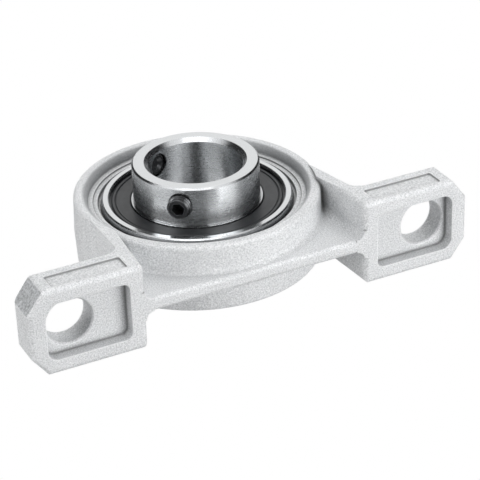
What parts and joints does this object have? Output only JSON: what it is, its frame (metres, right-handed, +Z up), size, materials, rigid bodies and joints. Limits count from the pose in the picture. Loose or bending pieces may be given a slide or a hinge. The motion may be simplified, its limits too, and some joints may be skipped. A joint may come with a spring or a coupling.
{
  "type": "pillow block bearing",
  "caption": "Cast pillow block with a bolt-down foot and a self-aligning ball bearing insert, whose collar grips the shaft with set screws.",
  "frame": {"origin": "middle of the underside of the foot, on the mounting plane straight below the bore", "axes": "+X along the foot, +Z up from the mounting plane, bore along Y with the set screw collar on the -Y side"},
  "size_m": [0.0988, 0.0235, 0.0544],
  "materials": {
    "casting": "blasted light grey alloy casting, matte, fine grain",
    "race_steel": "ground bearing steel, satin",
    "ball_steel": "polished bearing steel",
    "cage_steel": "pressed steel sheet",
    "seal_rubber": "moulded dark grey rubber, low sheen",
    "black_steel": "black oxide on steel"
  },
  "bodies": {
    "housing_body": {"housing": "casting"},
    "outer_ring": {"outer_race": "race_steel", "front_seal_core": "cage_steel", "front_seal_lip": "seal_rubber", "rear_seal_core": "cage_steel", "rear_seal_lip": "seal_rubber"},
    "inner_ring": {"inner_race": "race_steel"},
    "cage": {"cage_front_half": "cage_steel", "cage_rear_half": "cage_steel", "cage_rivets": "cage_steel"},
    "ball_1_body": {"ball_1": "ball_steel"},
    "ball_2_body": {"ball_2": "ball_steel"},
    "ball_3_body": {"ball_3": "ball_steel"},
    "ball_4_body": {"ball_4": "ball_steel"},
    "ball_5_body": {"ball_5": "ball_steel"},
    "ball_6_body": {"ball_6": "ball_steel"},
    "ball_7_body": {"ball_7": "ball_steel"},
    "ball_8_body": {"ball_8": "ball_steel"},
    "ball_9_body": {"ball_9": "ball_steel"},
    "set_screw_1_body": {"set_screw_1": "black_steel"},
    "set_screw_2_body": {"set_screw_2": "black_steel"}
  },
  "joints": [
    {"name": "self_align_tilt", "type": "hinge", "parent": "housing_body", "child": "outer_ring", "pos_m": [0, 0, 0.028], "axis": [1, 0, 0], "range_deg": [-2.5, 2.5]},
    {"name": "shaft_spin", "type": "hinge", "parent": "outer_ring", "child": "inner_ring", "pos_m": [0, 0, 0.028], "axis": [0, 1, 0], "continuous": true},
    {"name": "cage_spin", "type": "hinge", "parent": "outer_ring", "child": "cage", "pos_m": [0, 0, 0.028], "axis": [0, 1, 0], "continuous": true},
    {"name": "ball_1_spin", "type": "hinge", "parent": "cage", "child": "ball_1_body", "pos_m": [0, 0, 0.0125], "axis": [0, 1, 0], "continuous": true},
    {"name": "ball_2_spin", "type": "hinge", "parent": "cage", "child": "ball_2_body", "pos_m": [-0.00996, 0, 0.01613], "axis": [0, 1, 0], "continuous": true},
    {"name": "ball_3_spin", "type": "hinge", "parent": "cage", "child": "ball_3_body", "pos_m": [-0.01526, 0, 0.02531], "axis": [0, 1, 0], "continuous": true},
    {"name": "ball_4_spin", "type": "hinge", "parent": "cage", "child": "ball_4_body", "pos_m": [-0.01342, 0, 0.03575], "axis": [0, 1, 0], "continuous": true},
    {"name": "ball_5_spin", "type": "hinge", "parent": "cage", "child": "ball_5_body", "pos_m": [-0.0053, 0, 0.04257], "axis": [0, 1, 0], "continuous": true},
    {"name": "ball_6_spin", "type": "hinge", "parent": "cage", "child": "ball_6_body", "pos_m": [0.0053, 0, 0.04257], "axis": [0, 1, 0], "continuous": true},
    {"name": "ball_7_spin", "type": "hinge", "parent": "cage", "child": "ball_7_body", "pos_m": [0.01342, 0, 0.03575], "axis": [0, 1, 0], "continuous": true},
    {"name": "ball_8_spin", "type": "hinge", "parent": "cage", "child": "ball_8_body", "pos_m": [0.01526, 0, 0.02531], "axis": [0, 1, 0], "continuous": true},
    {"name": "ball_9_spin", "type": "hinge", "parent": "cage", "child": "ball_9_body", "pos_m": [0.00996, 0, 0.01613], "axis": [0, 1, 0], "continuous": true},
    {"name": "set_screw_1_travel", "type": "slide", "parent": "inner_ring", "child": "set_screw_1_body", "axis": [-0.6374, 0, -0.7705], "range_m": [-0.0012, 0]},
    {"name": "set_screw_2_travel", "type": "slide", "parent": "inner_ring", "child": "set_screw_2_body", "axis": [-0.4756, 0, 0.8796], "range_m": [-0.0012, 0]}
  ],
  "couplings": [
    {"joint": "cage_spin", "follows": "shaft_spin", "ratio": 0.39758},
    {"joint": "ball_1_spin", "follows": "shaft_spin", "ratio": -2.3385},
    {"joint": "ball_2_spin", "follows": "shaft_spin", "ratio": -2.3385},
    {"joint": "ball_3_spin", "follows": "shaft_spin", "ratio": -2.3385},
    {"joint": "ball_4_spin", "follows": "shaft_spin", "ratio": -2.3385},
    {"joint": "ball_5_spin", "follows": "shaft_spin", "ratio": -2.3385},
    {"joint": "ball_6_spin", "follows": "shaft_spin", "ratio": -2.3385},
    {"joint": "ball_7_spin", "follows": "shaft_spin", "ratio": -2.3385},
    {"joint": "ball_8_spin", "follows": "shaft_spin", "ratio": -2.3385},
    {"joint": "ball_9_spin", "follows": "shaft_spin", "ratio": -2.3385}
  ]
}
